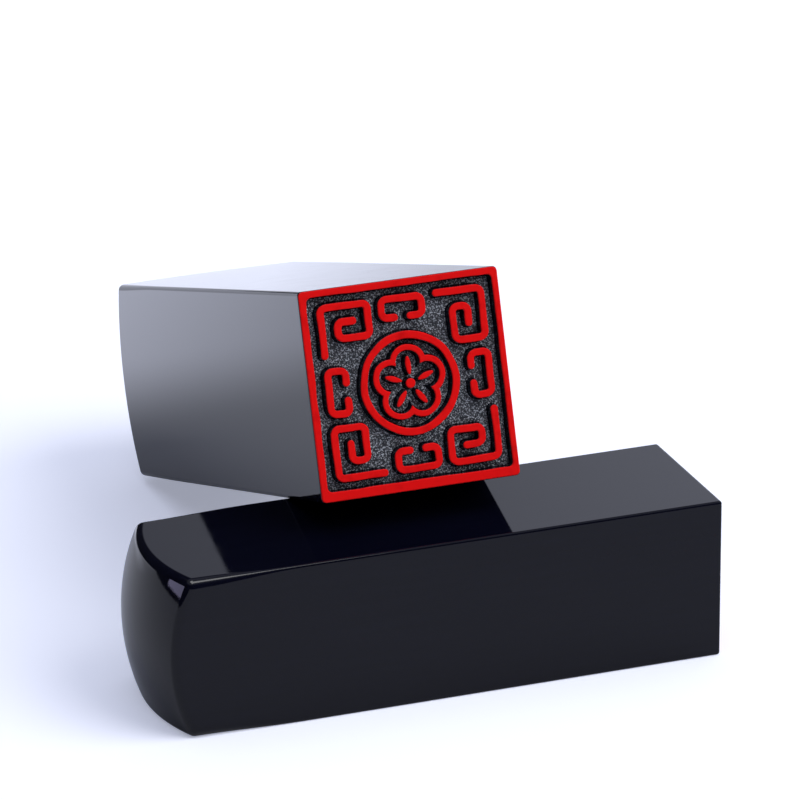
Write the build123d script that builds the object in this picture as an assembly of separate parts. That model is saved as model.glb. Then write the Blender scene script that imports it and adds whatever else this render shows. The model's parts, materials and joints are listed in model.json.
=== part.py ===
from build123d import *
import os
from dataclasses import dataclass
from math import asin, atan2, cos, hypot, sin, sqrt

os.makedirs("parts", exist_ok=True)

# Small seal, in millimetres: a square block that lies on its side
small_width = 20.0
small_length = 71.0
small_dome_radius = 25.0
small_edge_radius = 0.6
small_face_edge_radius = 0.3
small_carve_depth = 0.9
small_border_width = 0.9
small_border_gap = 1.0
small_field_corner_radius = 0.5
small_stroke_width = 0.85
small_petal_width = 0.9

# Large seal: the same make in a larger size, leaning over the small one
large_width = 25.0
large_length = 80.0
large_dome_radius = 31.25
large_edge_radius = 0.7
large_face_edge_radius = 0.2
large_carve_depth = 1.0
large_left_border = 0.9
large_right_border = 0.75
large_top_border = 0.8
large_bottom_border = 1.15
large_border_gap = 1.05
large_field_corner_radius = 0.6
large_stroke_width = 0.8
large_fine_stroke_width = 0.65
large_stamen_width = 0.6

# Seal paste: the thin red skin that stays on what stands proud of the carving
paste_thickness = 0.12
paste_inset = 0.06

# How the large seal leans: its domed end is on the floor behind the small seal
face_overhang = 13.75
sideways_shift = -2.46
rest_gap = 0.1

# Places on a face, as shares of the reach from its middle to the outer centrelines
large_turn_share = 0.07
spiral_outer_shares = [(0.44, 1.0), (1.0, 1.0), (1.0, 0.42), (0.62, 0.42)]
spiral_inner_shares = [(0.62, 0.81), (0.81, 0.81), (0.81, 0.61)]
side_bracket_shares = [(-0.1, 0.78), (-0.25, 0.78), (-0.25, 1.0), (0.25, 1.0), (0.25, 0.78), (0.1, 0.78)]
large_ring_share = 0.57
blossom_lobe_place_share = 0.235
blossom_lobe_share = 0.19
blossom_stamen_shares = (0.11, 0.31)
blossom_heart_share = 0.055
small_turn_share = 0.155
corner_bracket_shares = [(0.3, 1.0), (1.0, 1.0), (1.0, 0.3)]
corner_dot_place_shares = (0.72, 0.72)
corner_dot_share = 0.065
small_ring_share = 0.62
rosette_heart_share = 0.09
rosette_petal_shares = (0.19, 0.47)
side_petal_shares = (0.78, 1.05)

quarter_turns = 4
blossom_lobes = 5
rosette_petals = 8


@dataclass
class Seal:
    """The sizes of one seal. Its face lies in the XY plane and its body runs down -Z."""

    width: float
    length: float
    dome_radius: float
    edge_radius: float
    face_edge_radius: float
    carve_depth: float
    left_border: float
    right_border: float
    top_border: float
    bottom_border: float
    border_gap: float
    field_corner_radius: float
    stroke_width: float
    turn_share: float

    @property
    def field_width(self):
        return self.width - self.left_border - self.right_border

    @property
    def field_height(self):
        return self.width - self.top_border - self.bottom_border

    @property
    def field_centre(self):
        return Pos((self.left_border - self.right_border) / 2, (self.bottom_border - self.top_border) / 2)

    @property
    def reach(self):
        """From the middle of the carved field to the outermost stroke centrelines."""
        return min(self.field_width, self.field_height) / 2 - self.border_gap - self.stroke_width / 2

    @property
    def flat_length(self):
        """From the face to the corners where the dome starts."""
        corner_distance_squared = 2 * (self.width / 2) ** 2
        dome_height = self.dome_radius - sqrt(self.dome_radius**2 - corner_distance_squared)
        return self.length - dome_height


small_seal = Seal(
    width=small_width,
    length=small_length,
    dome_radius=small_dome_radius,
    edge_radius=small_edge_radius,
    face_edge_radius=small_face_edge_radius,
    carve_depth=small_carve_depth,
    left_border=small_border_width,
    right_border=small_border_width,
    top_border=small_border_width,
    bottom_border=small_border_width,
    border_gap=small_border_gap,
    field_corner_radius=small_field_corner_radius,
    stroke_width=small_stroke_width,
    turn_share=small_turn_share,
)

large_seal = Seal(
    width=large_width,
    length=large_length,
    dome_radius=large_dome_radius,
    edge_radius=large_edge_radius,
    face_edge_radius=large_face_edge_radius,
    carve_depth=large_carve_depth,
    left_border=large_left_border,
    right_border=large_right_border,
    top_border=large_top_border,
    bottom_border=large_bottom_border,
    border_gap=large_border_gap,
    field_corner_radius=large_field_corner_radius,
    stroke_width=large_stroke_width,
    turn_share=large_turn_share,
)


# Shapes that stand on a face. Each maker takes an inset that draws its outline in


def stroke(seal, point_shares):
    """A stroke with round ends and turns along a path given in shares of the reach."""
    points = [(x * seal.reach, y * seal.reach) for x, y in point_shares]

    def outline(inset):
        path = FilletPolyline(points, radius=seal.turn_share * seal.reach)
        return Face(path.offset_2d(seal.stroke_width / 2 - inset, kind=Kind.ARC, side=Side.BOTH))

    return outline


def ring(seal, radius_share):
    """A round ring, one stroke wide."""
    middle = radius_share * seal.reach

    def outline(inset):
        half = seal.stroke_width / 2 - inset
        return (Circle(middle + half) - Circle(middle - half)).face()

    return outline


def disc(seal, place_shares, radius_share):
    """A round dot."""
    place = Pos(place_shares[0] * seal.reach, place_shares[1] * seal.reach)

    def outline(inset):
        return place * Circle(radius_share * seal.reach - inset).face()

    return outline


def blossom_line(seal, line_width):
    """A line round five lobes that run into each other, as on a plum blossom."""
    place = blossom_lobe_place_share * seal.reach
    radius = blossom_lobe_share * seal.reach

    def blossom(outset):
        lobe = Pos(0, place) * Circle(radius + outset)
        lobes = [Rot(0, 0, 360 * step / blossom_lobes) * lobe for step in range(blossom_lobes)]
        return Circle(place) + lobes

    def outline(inset):
        half = line_width / 2 - inset
        return (blossom(half) - blossom(-half)).face()

    return outline


def petal(seal, end_shares, petal_width):
    """A pointed petal that lies along +Y, between two arcs."""
    low, high = [share * seal.reach for share in end_shares]

    def outline(inset):
        start = (0, low + inset)
        end = (0, high - inset)
        side = petal_width / 2 - inset
        middle = (low + high) / 2
        arcs = [ThreePointArc(start, (side, middle), end), ThreePointArc(end, (-side, middle), start)]
        return make_face(arcs).face()

    return outline


def turned(shape, copies):
    """The same shape repeated round the middle of the field."""

    def outline_at(angle):
        return lambda inset: Rot(0, 0, angle) * shape(inset)

    return [outline_at(360 * step / copies) for step in range(copies)]


def large_motifs():
    """A fret of square spirals and brackets round a ring with a plum blossom."""
    corner_spiral = stroke(large_seal, spiral_outer_shares + spiral_inner_shares)
    side_bracket = stroke(large_seal, side_bracket_shares)
    stamen = petal(large_seal, blossom_stamen_shares, large_stamen_width)
    return {
        "corner_spiral": turned(corner_spiral, quarter_turns),
        "side_bracket": turned(side_bracket, quarter_turns),
        "ring": [ring(large_seal, large_ring_share)],
        "blossom_line": [blossom_line(large_seal, large_fine_stroke_width)],
        "blossom_stamen": turned(stamen, blossom_lobes),
        "blossom_heart": [disc(large_seal, (0, 0), blossom_heart_share)],
    }


def small_motifs():
    """Corner brackets and petals round a ring with a rosette."""
    corner_dot = disc(small_seal, corner_dot_place_shares, corner_dot_share)
    side_petal = petal(small_seal, side_petal_shares, small_petal_width)
    rosette_petal = petal(small_seal, rosette_petal_shares, small_petal_width)
    return {
        "corner_bracket": turned(stroke(small_seal, corner_bracket_shares), quarter_turns),
        "corner_dot": turned(corner_dot, quarter_turns),
        "side_petal": turned(side_petal, quarter_turns),
        "ring": [ring(small_seal, small_ring_share)],
        "rosette_petal": turned(rosette_petal, rosette_petals),
        "rosette_heart": [disc(small_seal, (0, 0), rosette_heart_share)],
    }


# Solids


def field_face(seal, outset):
    """The floor of the carving, grown by an outset."""
    rectangle = RectangleRounded(
        seal.field_width + 2 * outset,
        seal.field_height + 2 * outset,
        seal.field_corner_radius + outset,
    )
    return seal.field_centre * rectangle.face()


def blank(seal):
    """The polished block before it is carved: square, with soft edges and a domed end."""
    straight_length = seal.length - seal.dome_radius
    prism = extrude(RectangleRounded(seal.width, seal.width, seal.edge_radius), amount=-seal.length)
    bar = Cylinder(seal.dome_radius, straight_length, align=(Align.CENTER, Align.CENTER, Align.MAX))
    bullet = bar + Pos(0, 0, -straight_length) * Sphere(seal.dome_radius)
    block = prism & bullet
    rim = block.faces().filter_by(GeomType.SPHERE).sort_by(Axis.Z)[0].outer_wire().edges()
    block = fillet(rim, seal.edge_radius)
    face_edges = block.faces().sort_by(Axis.Z)[-1].outer_wire().edges()
    return fillet(face_edges, seal.face_edge_radius)


def carved_block(seal, motifs):
    """The block with its field cut away round the border and the motifs."""
    shapes = [seal.field_centre * outline(0) for group in motifs.values() for outline in group]
    pocket = extrude(field_face(seal, 0), amount=-seal.carve_depth, dir=(0, 0, 1))
    relief = [extrude(shape, amount=-seal.carve_depth, dir=(0, 0, 1)) for shape in shapes]
    return blank(seal) - (pocket - relief)


def border_paste(seal):
    """The red skin on the border round the field."""
    edge_inset = seal.face_edge_radius + paste_inset
    side = seal.width - 2 * edge_inset
    outer = RectangleRounded(side, side, seal.edge_radius)
    return extrude((outer - field_face(seal, paste_inset)).face(), amount=paste_thickness, dir=(0, 0, 1))


def motif_paste(seal, outlines):
    """The red skin on one group of like motifs."""
    skins = [seal.field_centre * outline(paste_inset) for outline in outlines]
    return [extrude(skin, amount=paste_thickness, dir=(0, 0, 1)) for skin in skins]


def seal_nodes(prefix, seal, motifs):
    """Every piece of one seal, by node name, with the seal's face in the XY plane."""
    nodes = {
        prefix + "_block": [carved_block(seal, motifs)],
        prefix + "_border_paste": [border_paste(seal)],
    }
    for name, outlines in motifs.items():
        nodes[prefix + "_" + name + "_paste"] = motif_paste(seal, outlines)
    return nodes


# Places


def lying_plane():
    """The small seal on its side, its flat part centred on the origin and its face towards +X."""
    return Plane(
        origin=(small_seal.flat_length / 2, 0, small_width / 2),
        x_dir=(0, 1, 0),
        z_dir=(1, 0, 0),
    )


def leaning_plane():
    """The large seal on the far top edge of the small one, its domed end down behind.

    Seen along X, the underside is tangent to two rounds: that of the small seal's edge,
    below it, and that of the large seal's own rim, above it, which comes down to the floor.
    """
    dome_centre_along = large_length - large_dome_radius
    rim_offset = large_width / 2 - large_edge_radius
    rim_along = dome_centre_along + sqrt((large_dome_radius - large_edge_radius) ** 2 - rim_offset**2)
    edge_reach = small_edge_radius + rest_gap
    along = rim_along - face_overhang
    across = edge_reach + large_edge_radius
    climb = (small_width - small_edge_radius) - (rest_gap + large_edge_radius)
    lean = atan2(across, along) + asin(climb / hypot(along, across))

    # From the middle of the small seal's edge round, up to the underside and out to the face
    front_y = small_width / 2 - small_edge_radius + edge_reach * sin(lean) - face_overhang * cos(lean)
    front_z = small_width - small_edge_radius + edge_reach * cos(lean) + face_overhang * sin(lean)
    half = large_width / 2
    return Plane(
        origin=(sideways_shift, front_y + half * sin(lean), front_z + half * cos(lean)),
        x_dir=(1, 0, 0),
        z_dir=(0, -cos(lean), sin(lean)),
    )


def write_nodes(nodes, plane):
    """One file for each node, moved to its place."""
    for name, solids in nodes.items():
        placed = [plane.location * solid for solid in solids]
        shape = placed[0] if len(placed) == 1 else Compound(children=placed)
        export_step(shape, "parts/" + name + ".step")


write_nodes(seal_nodes("small_seal", small_seal, small_motifs()), lying_plane())
write_nodes(seal_nodes("large_seal", large_seal, large_motifs()), leaning_plane())
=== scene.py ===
import json
import math
from collections import Counter

import bpy
import numpy as np
from bpy.props import FloatProperty, FloatVectorProperty, IntProperty, PointerProperty
from mathutils import Matrix, Vector
from mathutils.geometry import delaunay_2d_cdt


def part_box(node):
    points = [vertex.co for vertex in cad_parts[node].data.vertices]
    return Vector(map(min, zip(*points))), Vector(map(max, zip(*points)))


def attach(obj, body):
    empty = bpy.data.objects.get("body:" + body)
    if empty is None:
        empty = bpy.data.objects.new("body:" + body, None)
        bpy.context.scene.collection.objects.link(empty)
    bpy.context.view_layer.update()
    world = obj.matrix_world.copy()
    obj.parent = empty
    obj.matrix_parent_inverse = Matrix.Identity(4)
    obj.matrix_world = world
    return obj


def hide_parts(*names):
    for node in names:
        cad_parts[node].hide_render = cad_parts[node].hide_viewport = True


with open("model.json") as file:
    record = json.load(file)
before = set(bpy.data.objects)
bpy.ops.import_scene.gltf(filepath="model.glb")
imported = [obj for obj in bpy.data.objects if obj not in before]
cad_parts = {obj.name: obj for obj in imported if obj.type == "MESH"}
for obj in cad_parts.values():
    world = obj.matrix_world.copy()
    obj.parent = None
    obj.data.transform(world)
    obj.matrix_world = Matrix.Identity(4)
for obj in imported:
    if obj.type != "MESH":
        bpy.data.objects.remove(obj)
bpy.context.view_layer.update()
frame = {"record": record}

bl_info = {
    "name": "Seal Stamp Pair",
    "version": (1, 0, 0),
    "blender": (4, 5, 0),
    "location": "View3D > Sidebar > Seal Stamps",
    "description": "Makes two polished horn seal stamps with carved faces and red seal paste",
    "category": "Object",
}

UP = np.array([0, 0, 1.0])


# Outlines

# Fineness of the outlines: metres between points, and steps or points in each round stretch
POINT_SPACING = 0.0004
TURN_STEPS = 8
STROKE_END_STEPS = 12
CORNER_STEPS = 6
TIP_STEPS = 8
LOBE_POINTS = 13
PETAL_POINTS = 14
DISC_POINTS = 40
RING_POINTS = 96

SQUARE_SIDES = 4

# The waves that the graver's straying is made of, and how much longer or shorter than usual each may be
WANDER_WAVES = 7
WANDER_STRETCH = (0.6, 1.8)


def unit(vector):
    return vector / np.linalg.norm(vector)


def rotation(angle):
    return np.array([[math.cos(angle), -math.sin(angle)], [math.sin(angle), math.cos(angle)]])


def headings(angles):
    """Unit vectors at these angles."""
    return np.stack([np.cos(angles), np.sin(angles)], 1)


def circle(count):
    """Unit vectors once round."""
    return headings(np.arange(count) * 2 * math.pi / count)


def fan(first_angle, last_angle, steps):
    """Unit normals that turn from one angle to another, ends left out."""
    return headings(np.linspace(first_angle, last_angle, steps + 1)[1:-1])


def stepped(start, end):
    """Points along a straight run, the last one left out."""
    count = max(1, round(float(np.linalg.norm(end - start)) / POINT_SPACING))
    return [start + (end - start) * step / count for step in range(count)]


def quarters():
    """Angle, way out and way along for each side of a square, once round."""
    for side in range(SQUARE_SIDES):
        angle = side * math.pi / 2
        out = np.array([round(math.cos(angle)), round(math.sin(angle))], float)
        yield angle, out, np.array([-out[1], out[0]])


def at_height(points, height):
    """Flat points at one height, or at a height each."""
    return np.column_stack([points, np.full(len(points), height)])


class Spine:
    """One side of a stroke: its outline at any distance, and normals to the right of the way round."""

    def __init__(self, outline, normals):
        self.outline = outline
        self.normals = normals

    def placed(self, angle, offset):
        """The same side turned, then moved."""
        turn = rotation(-angle)
        return Spine(lambda distance: self.outline(distance) @ turn + offset, self.normals @ turn)


def spine_along(points, normals, reach):
    """A side that lies at a reach from its points, along their normals."""
    points, normals = np.array(points, float), np.array(normals, float)
    return Spine(lambda distance: points + (reach + distance) * normals, normals)


def lobed_spine(lobes, place, radius, reach, side):
    """The outer or inner side of a line round lobes that run into each other, the first one along +Y."""
    half = math.pi / lobes
    local = np.tile(np.linspace(-half, half, LOBE_POINTS)[:: side], lobes)
    middles = np.repeat(np.arange(lobes)[:: side] * 2 * half, LOBE_POINTS) + math.pi / 2
    ways = headings(middles + local)

    def outline(distance):
        rest = (radius + side * (reach + distance)) ** 2 - (place * np.sin(local)) ** 2
        # Where thin lobes no longer meet, the line closes at the nearest point between them
        out = place * np.cos(local) + np.sqrt(np.maximum(rest, 0))
        return ways * out[:, None]

    across = outline(0) - headings(middles) * place
    return Spine(outline, side * across / np.linalg.norm(across, axis=1)[:, None])


def rounded_path(corners, turn_radius):
    """Points and directions along a path of straight runs joined by tangent arcs."""
    corners = np.array(corners, float)
    points, directions = [], []
    here = corners[0]
    for before, corner, after in zip(corners, corners[1:], corners[2:]):
        way_in, way_out = unit(corner - before), unit(after - corner)
        turn = math.atan2(way_in[0] * way_out[1] - way_in[1] * way_out[0], way_in @ way_out)
        cut = turn_radius * math.tan(abs(turn) / 2)
        arc_start = corner - way_in * cut
        side = math.copysign(1, turn) * np.array([-way_in[1], way_in[0]])
        centre = arc_start + side * turn_radius
        run = stepped(here, arc_start)
        points += run
        directions += [way_in] * len(run)
        for step in range(TURN_STEPS):
            spin = rotation(turn * step / TURN_STEPS)
            points.append(centre - spin @ side * turn_radius)
            directions.append(spin @ way_in)
        here = corner + way_out * cut
    run = [*stepped(here, corners[-1]), corners[-1]]
    points += run
    directions += [unit(corners[-1] - corners[-2])] * len(run)
    return np.array(points), np.array(directions)


def hook_spine(corners, turn_radius, half_width):
    """Both sides of a stroke with a round end at each end."""
    points, ways = rounded_path(corners, turn_radius)
    right = np.stack([ways[:, 1], -ways[:, 0]], 1)
    last = math.atan2(right[-1][1], right[-1][0])
    first = math.atan2(-right[0][1], -right[0][0])
    end_fan = fan(last, last + math.pi, STROKE_END_STEPS)
    start_fan = fan(first, first + math.pi, STROKE_END_STEPS)
    middle_line = [*points, *[points[-1]] * len(end_fan), *points[::-1], *[points[0]] * len(start_fan)]
    return spine_along(middle_line, [*right, *end_fan, *-right[::-1], *start_fan], half_width)


def disc_spine(centre, radius):
    """A round dot."""
    return spine_along([centre] * DISC_POINTS, circle(DISC_POINTS), radius)


def ring_spines(radius, half_width):
    """The outer and the inner side of a round ring."""
    normals = circle(RING_POINTS)
    outer = spine_along(normals * radius, normals, half_width)
    return [outer, spine_along(normals[::-1] * radius, -normals[::-1], half_width)]


def petal_spine(low, high, width, tip_radius):
    """A petal between two arcs, along +Y, with slightly blunt tips."""
    half_length = (high - low) / 2 - tip_radius
    half_width = width / 2 - tip_radius
    radius = (half_length**2 + half_width**2) / (2 * half_width)
    sweep = math.asin(half_length / radius)
    middle = np.array([0, (low + high) / 2])
    normals = headings(np.linspace(-sweep, sweep, PETAL_POINTS))
    right = middle + normals * radius - np.array([radius - half_width, 0])
    left = 2 * middle - right
    tip_fan = fan(sweep, math.pi - sweep, TIP_STEPS)
    tail_fan = fan(math.pi + sweep, 2 * math.pi - sweep, TIP_STEPS)
    points = [*right, *[right[-1]] * len(tip_fan), *left, *[right[0]] * len(tail_fan)]
    return spine_along(points, [*normals, *tip_fan, *-normals, *tail_fan], tip_radius)


def rectangle_spine(centre, width, height, corner_radius, inward=False):
    """A rounded rectangle whose normals point out, or in with the way round reversed."""
    half = np.array([width / 2 - corner_radius, height / 2 - corner_radius])
    points, normals = [], []
    for angle, out, along in quarters():
        end = (out + along) * half
        run = [*stepped((out - along) * half, end), end]
        turn = fan(angle, angle + math.pi / 2, CORNER_STEPS)
        points += run + [end] * len(turn)
        normals += [out] * len(run) + list(turn)
    points, normals = np.array(points) + np.array(centre), np.array(normals)
    if inward:
        return spine_along((points + normals * corner_radius)[::-1], -normals[::-1], 0)
    return spine_along(points, normals, corner_radius)


def wander(places, amount, length, seed):
    """How far a hand-held graver strays at each place, smoothly to and fro."""
    random = np.random.default_rng(seed)
    shift = np.zeros(places.shape)
    for _ in range(WANDER_WAVES):
        heading, phase, way = random.uniform(0, 2 * math.pi, 3)
        stretch = random.uniform(*WANDER_STRETCH)
        wave = np.array([math.cos(heading), math.sin(heading)]) * 2 * math.pi / (length * stretch)
        push = np.array([math.cos(way), math.sin(way)]) * amount / math.sqrt(WANDER_WAVES)
        shift += np.sin(places @ wave + phase)[:, None] * push
    return shift


# Meshes

# Corners that lie on the same step are one point, with this many steps to the metre
MERGE_STEPS = 1e8

# The kind of filling that keeps only what lies inside the outline, and its tolerance in metres
FILL_INSIDE = 1
FILL_TOLERANCE = 1e-9

# How far a loose point strays from its grid, as a share of the spacing
SPOT_JITTER = 0.38

# Keeps a sum of normals that cancel out from being divided by zero
TINY = 1e-30


class Shell:
    """Collects faces with a normal for each corner, and makes one mesh of them."""

    def __init__(self):
        self.corners = []
        self.corner_normals = []
        self.materials = []

    def add(self, points, faces, normals=None, material=0):
        """Faces index the points. One normal may serve them all, and without any each face is flat."""
        points = np.array(points, float)
        if normals is not None:
            normals = np.broadcast_to(normals, points.shape)
        for face in faces:
            corners = points[list(face)]
            if normals is None:
                across = np.cross(corners[1] - corners[0], corners[-1] - corners[0])
                flat = unit(across) if across.any() else UP
                face_normals = np.tile(flat, (len(corners), 1))
            else:
                face_normals = normals[list(face)]
            self.corners.append(corners)
            self.corner_normals.append(face_normals)
            self.materials.append(material)

    def add_strip(self, rows, normal_rows):
        """Quads between closed rows of points, the outer side to the right of the way round."""
        for index in range(len(rows) - 1):
            count = len(rows[index])
            points = np.concatenate([rows[index], rows[index + 1]])
            normals = np.concatenate([normal_rows[index][1], normal_rows[index + 1][0]])
            faces = [
                (step, count + step, count + (step + 1) % count, (step + 1) % count)
                for step in range(count)
            ]
            self.add(points, faces, normals)

    def make(self, name, place=Matrix.Identity(4), reshape=None):
        """A mesh object named name, moved to its place, with doubled points merged."""
        corners = np.concatenate(self.corners)
        normals = np.concatenate(self.corner_normals)
        grid = np.round(corners * MERGE_STEPS).astype(np.int64)
        _, first, index = np.unique(grid, axis=0, return_index=True, return_inverse=True)
        index = index.reshape(-1).tolist()
        points = corners[first]
        if reshape is not None:
            points = reshape(points)
        faces, kept_normals, kept_materials = [], [], []
        start = 0
        for size, material in zip(map(len, self.corners), self.materials):
            face, face_normals = [], []
            for corner in range(start, start + size):
                if index[corner] not in face:
                    face.append(index[corner])
                    face_normals.append(normals[corner])
            if len(face) > 2:
                faces.append(face)
                kept_normals.extend(face_normals)
                kept_materials.append(material)
            start += size
        turn = np.array(place.to_3x3()).T
        points = points @ turn + np.array(place.translation)
        mesh = bpy.data.meshes.new(name)
        mesh.from_pydata(points.tolist(), [], faces)
        mesh.polygons.foreach_set("use_smooth", [True] * len(faces))
        mesh.polygons.foreach_set("material_index", kept_materials)
        mesh.normals_split_custom_set((np.array(kept_normals) @ turn).tolist())
        mesh.update()
        return new_object(name, mesh)


def new_object(name, data):
    """An object of that mesh, light or camera, linked into the scene."""
    thing = bpy.data.objects.new(name, data)
    bpy.context.scene.collection.objects.link(thing)
    return thing


def fill_between(outline, holes, spots=()):
    """Points and triangles that fill the outline but not the holes, through the spots."""
    points, polygons = [], []
    for loop in [outline, *holes]:
        first = len(points)
        points.extend(Vector(point) for point in loop)
        polygon = list(range(first, len(points)))
        area = sum(
            loop[step - 1][0] * loop[step][1] - loop[step][0] * loop[step - 1][1]
            for step in range(len(loop))
        )
        polygons.append(polygon if area > 0 else polygon[::-1])
    points.extend(Vector(point) for point in spots)
    places, _, faces, _, _, owners = delaunay_2d_cdt(points, [], polygons, FILL_INSIDE, FILL_TOLERANCE, True)
    triangles = [face for face, loops in zip(faces, owners) if loops and max(loops) == 0]
    return np.array([tuple(place) for place in places]), triangles


def fill_stroke(sides, distance, spots=()):
    """The same between the outer side of a stroke and its inner one, if it has one."""
    return fill_between(sides[0].outline(distance), [side.outline(distance) for side in sides[1:]], spots)


def wall_rows(spine, profile):
    """Rows of points down a wall, with the normals above and below each row."""
    rows, row_normals, slopes = [], [], []
    for (near, high), (far, low) in zip(profile, profile[1:]):
        length = math.hypot(far - near, high - low)
        slopes.append(((high - low) / length, (far - near) / length))
    for index, (distance, height) in enumerate(profile):
        rows.append(at_height(spine.outline(distance), height))
        sides = (slopes[max(index - 1, 0)], slopes[min(index, len(slopes) - 1)])
        row_normals.append([at_height(spine.normals * out, up) for out, up in sides])
    return rows, row_normals


def spots_in_square(reach, spacing, seed):
    """A jittered grid of points over a square field."""
    random = np.random.default_rng(seed)
    steps = np.arange(-reach, reach + spacing / 2, spacing)
    grid = np.stack(np.meshgrid(steps, steps), -1).reshape(-1, 2)
    return grid + random.uniform(-SPOT_JITTER, SPOT_JITTER, grid.shape) * spacing


def edge_points(triangles):
    """Indices of the points on the border of a set of triangles."""
    edges = Counter(
        frozenset((face[step - 1], face[step])) for face in triangles for step in range(len(face))
    )
    return list({index for edge, count in edges.items() if count == 1 for index in edge})


def smooth_normals(points, triangles):
    """Point normals averaged over the triangles round each point."""
    normals = np.zeros_like(points)
    for triangle in triangles:
        a, b, c = points[list(triangle)]
        normals[list(triangle)] += np.cross(b - a, c - a)
    lengths = np.linalg.norm(normals, axis=1)[:, None]
    return np.where(lengths > 0, normals / np.maximum(lengths, TINY), UP)


def placement(right, up, out, origin):
    """The matrix that lays X, Y and Z along three ways, at an origin."""
    place = Matrix((right, up, out)).transposed().to_4x4()
    place.translation = origin
    return place


# Settings


def number_setting(label, description, default, **kind):
    return FloatProperty(name=label, description=description, default=default, **kind)


def length_setting(label, description, default):
    return number_setting(label, description, default, unit="LENGTH", precision=5)


def share_setting(label, description, default):
    return number_setting(label, description, default, subtype="FACTOR", min=0, max=2)


def angle_setting(label, description, degrees):
    return number_setting(label, description, math.radians(degrees), subtype="ANGLE")


def power_setting(label, description, default):
    return number_setting(label, description, default, unit="POWER")


def colour_setting(label, description, default):
    return FloatVectorProperty(
        name=label, description=description, default=default, subtype="COLOR", size=3, min=0, max=1
    )


class SmallSealSettings(bpy.types.PropertyGroup):
    """Sizes of the small seal, which lies on its side."""

    width: length_setting("Width", "Side of the square block", 0.020)
    length: length_setting("Length", "From the carved face to the top of the dome", 0.071)
    dome_radius: length_setting("Dome radius", "Radius of the domed end", 0.025)
    edge_radius: length_setting("Edge radius", "Round of the long edges", 0.00035)
    rim_radius: length_setting("Rim radius", "Round of the dome's rim", 0.0012)
    face_edge_radius: length_setting("Face edge radius", "Round of the edge about the carved face", 0.0003)
    carve_depth: length_setting("Carving depth", "Depth of the carved ground", 0.0009)
    left_border: length_setting("Left border", "Width of the border on the left", 0.0009)
    right_border: length_setting("Right border", "Width of the border on the right", 0.0009)
    top_border: length_setting("Top border", "Width of the border at the top", 0.0009)
    bottom_border: length_setting("Bottom border", "Width of the border at the bottom", 0.0009)
    paste_lip: length_setting("Paste lip", "Bare edge outside the border's paste", 0.00055)
    border_gap: length_setting("Border gap", "Free ground inside the border", 0.0010)
    field_corner_radius: length_setting("Field corner radius", "Round of the field's corners", 0.0005)
    stroke_width: length_setting("Stroke width", "Width of the raised strokes", 0.00085)
    petal_width: length_setting("Petal width", "Width of the raised petals", 0.0009)
    turn_share: share_setting("Turn share", "Radius of the strokes' turns, as a share of the reach", 0.155)
    ring_share: share_setting("Ring share", "Radius of the ring, as a share of the reach", 0.62)


class LargeSealSettings(bpy.types.PropertyGroup):
    """Sizes of the large seal, which leans over the small one."""

    width: length_setting("Width", "Side of the square block", 0.025)
    length: length_setting("Length", "From the carved face to the top of the dome", 0.080)
    dome_radius: length_setting("Dome radius", "Radius of the domed end", 0.03125)
    edge_radius: length_setting("Edge radius", "Round of the long edges", 0.0005)
    rim_radius: length_setting("Rim radius", "Round of the dome's rim", 0.0008)
    face_edge_radius: length_setting("Face edge radius", "Round of the edge about the carved face", 0.0002)
    carve_depth: length_setting("Carving depth", "Depth of the carved ground", 0.0010)
    left_border: length_setting("Left border", "Width of the border on the left", 0.0009)
    right_border: length_setting("Right border", "Width of the border on the right", 0.00075)
    top_border: length_setting("Top border", "Width of the border at the top", 0.0008)
    bottom_border: length_setting("Bottom border", "Width of the border at the bottom", 0.00115)
    paste_lip: length_setting("Paste lip", "Bare edge outside the border's paste", 0.00009)
    border_gap: length_setting("Border gap", "Free ground inside the border", 0.00105)
    field_corner_radius: length_setting("Field corner radius", "Round of the field's corners", 0.0006)
    stroke_width: length_setting("Stroke width", "Width of the raised strokes", 0.00080)
    fine_stroke_width: length_setting("Fine stroke width", "Width of the blossom's line", 0.00065)
    stamen_width: length_setting("Stamen width", "Width of the blossom's stamens", 0.00060)
    turn_share: share_setting("Turn share", "Radius of the strokes' turns, as a share of the reach", 0.07)
    ring_share: share_setting("Ring share", "Radius of the ring, as a share of the reach", 0.57)


class CarvingSettings(bpy.types.PropertyGroup):
    """How the graver left the ground and the strokes."""

    wander: length_setting("Wander", "How far the graver strays from a true line", 0.00006)
    wander_length: length_setting("Wander length", "Length of that straying", 0.0050)
    top_round: length_setting("Top round", "Wear on the upper edges of the relief", 0.00006)
    wall_draft: length_setting("Wall draft", "How much wider the strokes are at their foot", 0.00022)
    ground_grain: length_setting("Ground grain", "Spacing of the grain on the carved ground", 0.00015)
    ground_roughness: length_setting("Ground roughness", "Height of the grain on the carved ground", 0.00006)
    paste_thickness: length_setting("Paste thickness", "Thickness of the red skin", 0.00012)
    paste_skirt: length_setting("Paste skirt", "How far the paste runs down the walls", 0.00012)


class FinishSettings(bpy.types.PropertyGroup):
    """Colours of the finishes."""

    horn: colour_setting("Horn", "Polished black horn", (0.0013, 0.0015, 0.0055))
    horn_pale: colour_setting("Pale horn", "Paler growth lines in the horn", (0.0030, 0.0034, 0.0090))
    ground: colour_setting("Carved ground", "Dull cut horn", (0.013, 0.015, 0.021))
    # Pale specks on the cut ground: partly its pale grain, partly painted glints
    ground_grain_and_glint: colour_setting("Pale grain and painted glints", "Pale grain and painted glints on the cut horn", (0.34, 0.37, 0.42))
    paste: colour_setting("Seal paste", "Fresh red paste", (0.67, 0.006, 0.0065))
    paste_dark: colour_setting("Thin paste", "Paste where it lies thin", (0.50, 0.003, 0.004))


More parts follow.
